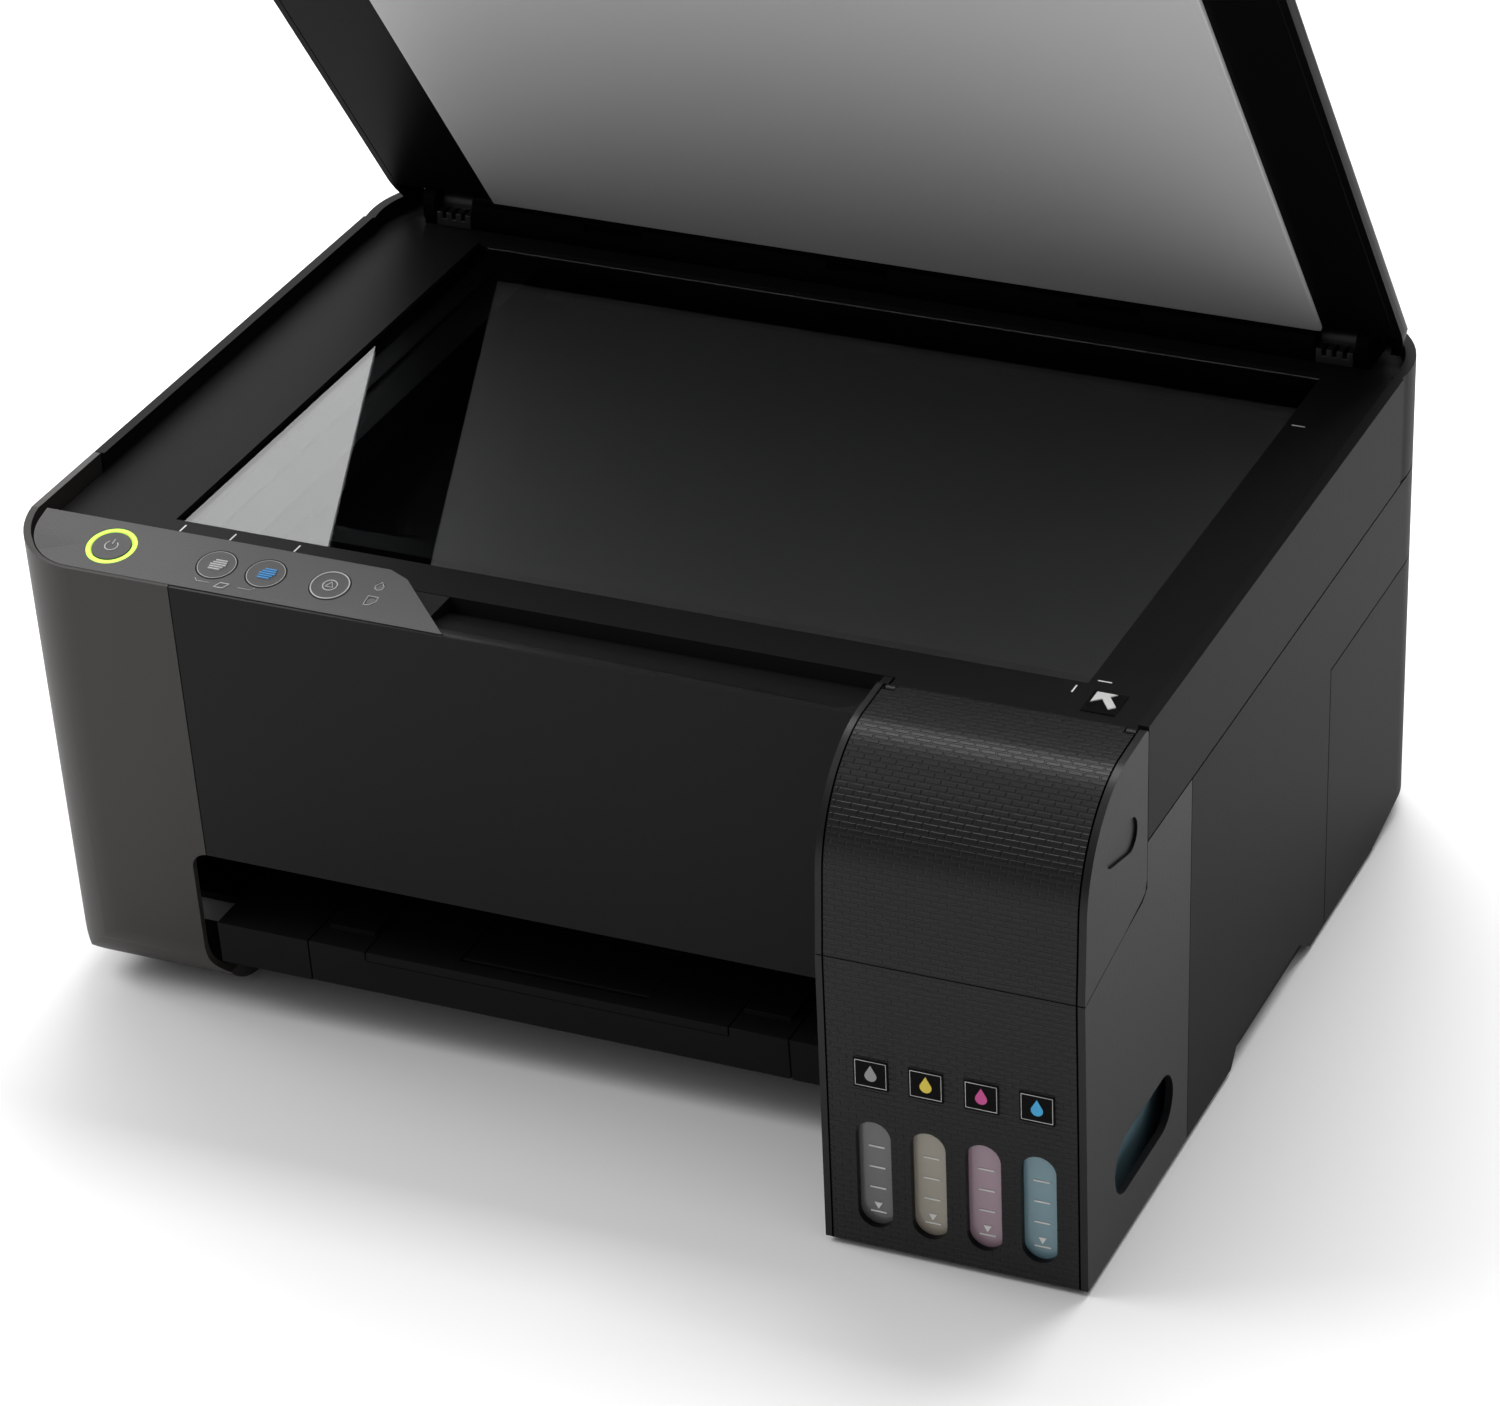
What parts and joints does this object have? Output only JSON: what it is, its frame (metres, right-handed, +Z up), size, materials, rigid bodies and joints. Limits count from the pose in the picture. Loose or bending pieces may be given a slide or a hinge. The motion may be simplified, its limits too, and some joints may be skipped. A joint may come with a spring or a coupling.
{
  "type": "inkjet printer",
  "caption": "Home all-in-one inkjet printer with refillable ink tanks at the front right, a flatbed scanner under an opened lid and a sliding output tray",
  "frame": {"origin": "Middle of the bounding box seen from above, at the level of the rubber feet", "axes": "+X to the right seen from the front, +Y to the back, +Z up; the front faces -Y"},
  "size_m": [0.375, 0.347, 0.3721],
  "materials": {
    "black_shell": "fine textured",
    "grey_shell": "fine textured",
    "front_shell": "fine textured",
    "panel": "fine textured",
    "light": "translucent",
    "clear_black": "translucent",
    "clear_yellow": "translucent",
    "clear_magenta": "translucent",
    "clear_cyan": "translucent",
    "steel": "zinc plated",
    "dark_plastic": "moulded",
    "rubber": "matte",
    "board": "lacquered",
    "tube": "translucent",
    "brass": "turned",
    "ivory": "moulded",
    "glass": "polished",
    "pad": "smooth foam sheet",
    "lid_shell": "smooth",
    "plate": "printed"
  },
  "bodies": {
    "base": {"lower_housing": "black_shell", "left_cover": "grey_shell", "right_cover": "black_shell", "right_rear_cover": "black_shell", "rear_cover": "black_shell", "front_cover": "front_shell", "control_panel": "panel", "panel_lights": "light", "tank_housing": "front_shell", "colour_tags": "plate", "ink_tank_black": "clear_black", "ink_tank_yellow": "clear_yellow", "ink_tank_magenta": "clear_magenta", "ink_tank_cyan": "clear_cyan", "print_frame": "steel", "platen": "dark_plastic", "star_wheel_bar": "dark_plastic", "cap_station": "dark_plastic", "power_supply": "dark_plastic", "main_board": "board", "power_inlet": "dark_plastic", "ink_tubes": "tube", "feed_motor": "steel", "carriage_motor": "steel", "carriage_belt": "rubber", "scanner_hinge_brackets": "steel", "rubber_feet": "rubber", "housing_screws": "steel"},
    "scanner_unit": {"scanner_frame": "black_shell", "scanner_glass": "glass", "scanner_pan": "dark_plastic", "origin_plate": "plate", "lid_hinge_posts": "dark_plastic", "scanner_hinge_pins": "steel"},
    "document_lid": {"document_lid": "lid_shell", "lid_liner": "lid_shell", "document_pad": "pad"},
    "tank_cap_black": {"tank_cap_black": "dark_plastic"},
    "tank_cap_yellow": {"tank_cap_yellow": "dark_plastic"},
    "tank_cap_magenta": {"tank_cap_magenta": "dark_plastic"},
    "tank_cap_cyan": {"tank_cap_cyan": "dark_plastic"},
    "tank_cover": {"tank_cover": "front_shell"},
    "motor_pinion": {"motor_pinion": "ivory"},
    "drive_pulley": {"drive_pulley": "brass"},
    "idler_pulley": {"idler_pulley": "dark_plastic"},
    "print_carriage": {"print_carriage": "dark_plastic"},
    "feed_roller": {"feed_roller": "rubber"},
    "eject_roller": {"eject_roller": "rubber"},
    "pickup_roller": {"pickup_roller": "rubber"},
    "scan_bar": {"scan_bar": "dark_plastic"},
    "power_button": {"power_button": "panel"},
    "mono_copy_button": {"mono_copy_button": "panel"},
    "colour_copy_button": {"colour_copy_button": "panel"},
    "stop_button": {"stop_button": "panel"},
    "output_tray": {"output_tray": "black_shell"},
    "tray_extension": {"tray_extension": "black_shell"},
    "paper_stopper": {"paper_stopper": "black_shell"},
    "paper_support": {"paper_support": "black_shell"},
    "edge_guide_left": {"edge_guide_left": "dark_plastic"},
    "edge_guide_right": {"edge_guide_right": "dark_plastic"}
  },
  "joints": [
    {"name": "scanner_unit_hinge", "type": "hinge", "parent": "base", "child": "scanner_unit", "pos_m": [0, 0.1702, 0.1332], "axis": [-1, 0, 0], "range_deg": [0, 40]},
    {"name": "document_lid_hinge", "type": "hinge", "parent": "scanner_unit", "child": "document_lid", "pos_m": [0, 0.1495, 0.1685], "axis": [-1, 0, 0], "range_deg": [-52, 28]},
    {"name": "tank_cover_hinge", "type": "hinge", "parent": "base", "child": "tank_cover", "pos_m": [0.1454, -0.1227, 0.1662], "axis": [-1, 0, 0], "range_deg": [0, 85]},
    {"name": "tank_cap_black_hinge", "type": "hinge", "parent": "base", "child": "tank_cap_black", "pos_m": [0.1199, -0.1255, 0.1005], "axis": [-1, 0, 0], "range_deg": [0, 95]},
    {"name": "tank_cap_yellow_hinge", "type": "hinge", "parent": "base", "child": "tank_cap_yellow", "pos_m": [0.13737, -0.1255, 0.1005], "axis": [-1, 0, 0], "range_deg": [0, 95]},
    {"name": "tank_cap_magenta_hinge", "type": "hinge", "parent": "base", "child": "tank_cap_magenta", "pos_m": [0.15484, -0.1255, 0.1005], "axis": [-1, 0, 0], "range_deg": [0, 95]},
    {"name": "tank_cap_cyan_hinge", "type": "hinge", "parent": "base", "child": "tank_cap_cyan", "pos_m": [0.17231, -0.1255, 0.1005], "axis": [-1, 0, 0], "range_deg": [0, 95]},
    {"name": "carriage_slide", "type": "slide", "parent": "base", "child": "print_carriage", "axis": [1, 0, 0], "range_m": [-0.23, 0]},
    {"name": "drive_pulley_spin", "type": "hinge", "parent": "base", "child": "drive_pulley", "pos_m": [-0.1615, 0.046, 0.104], "axis": [0, 0, 1], "range_deg": [-2330, 10]},
    {"name": "idler_pulley_spin", "type": "hinge", "parent": "base", "child": "idler_pulley", "pos_m": [0.1695, 0.046, 0.104], "axis": [0, 0, 1], "range_deg": [-2330, 10]},
    {"name": "feed_roller_spin", "type": "hinge", "parent": "base", "child": "feed_roller", "pos_m": [0, 0.034, 0.0686], "axis": [1, 0, 0], "continuous": true},
    {"name": "motor_pinion_spin", "type": "hinge", "parent": "base", "child": "motor_pinion", "pos_m": [-0.14, 0.034, 0.047], "axis": [1, 0, 0], "continuous": true},
    {"name": "eject_roller_spin", "type": "hinge", "parent": "base", "child": "eject_roller", "pos_m": [0, -0.042, 0.0686], "axis": [1, 0, 0], "continuous": true},
    {"name": "pickup_roller_spin", "type": "hinge", "parent": "base", "child": "pickup_roller", "pos_m": [-0.01185, 0.128, 0.084], "axis": [1, 0, 0], "continuous": true},
    {"name": "scan_bar_slide", "type": "slide", "parent": "scanner_unit", "child": "scan_bar", "axis": [1, 0, 0], "range_m": [0, 0.27]},
    {"name": "power_button_press", "type": "slide", "parent": "base", "child": "power_button", "axis": [0, 0.2419, -0.9703], "range_m": [0, 0.001], "stiffness_N_per_m": 300},
    {"name": "mono_copy_button_press", "type": "slide", "parent": "base", "child": "mono_copy_button", "axis": [0, 0.2419, -0.9703], "range_m": [0, 0.001], "stiffness_N_per_m": 300},
    {"name": "colour_copy_button_press", "type": "slide", "parent": "base", "child": "colour_copy_button", "axis": [0, 0.2419, -0.9703], "range_m": [0, 0.001], "stiffness_N_per_m": 300},
    {"name": "stop_button_press", "type": "slide", "parent": "base", "child": "stop_button", "axis": [0, 0.2419, -0.9703], "range_m": [0, 0.001], "stiffness_N_per_m": 300},
    {"name": "output_tray_slide", "type": "slide", "parent": "base", "child": "output_tray", "axis": [0, -1, 0], "range_m": [0, 0.07]},
    {"name": "tray_extension_slide", "type": "slide", "parent": "output_tray", "child": "tray_extension", "axis": [0, -1, 0], "range_m": [0, 0.07]},
    {"name": "paper_stopper_hinge", "type": "hinge", "parent": "tray_extension", "child": "paper_stopper", "pos_m": [-0.0117, -0.1101, 0.0335], "axis": [1, 0, 0], "range_deg": [0, 88]},
    {"name": "paper_support_hinge", "type": "hinge", "parent": "base", "child": "paper_support", "pos_m": [0, 0.1713, 0.0424], "axis": [-1, 0, 0], "range_deg": [0, 60]},
    {"name": "edge_guide_left_slide", "type": "slide", "parent": "paper_support", "child": "edge_guide_left", "axis": [1, 0, 0], "range_m": [0, 0.075]},
    {"name": "edge_guide_right_slide", "type": "slide", "parent": "paper_support", "child": "edge_guide_right", "axis": [-1, 0, 0], "range_m": [0, 0.075]}
  ],
  "couplings": [
    {"joint": "drive_pulley_spin", "follows": "carriage_slide", "rad_per_m": 175.44},
    {"joint": "idler_pulley_spin", "follows": "carriage_slide", "rad_per_m": 175.44},
    {"joint": "motor_pinion_spin", "follows": "feed_roller_spin", "ratio": -3},
    {"joint": "eject_roller_spin", "follows": "feed_roller_spin", "ratio": 1},
    {"joint": "pickup_roller_spin", "follows": "feed_roller_spin", "ratio": 1},
    {"joint": "edge_guide_right_slide", "follows": "edge_guide_left_slide", "ratio": 1}
  ]
}
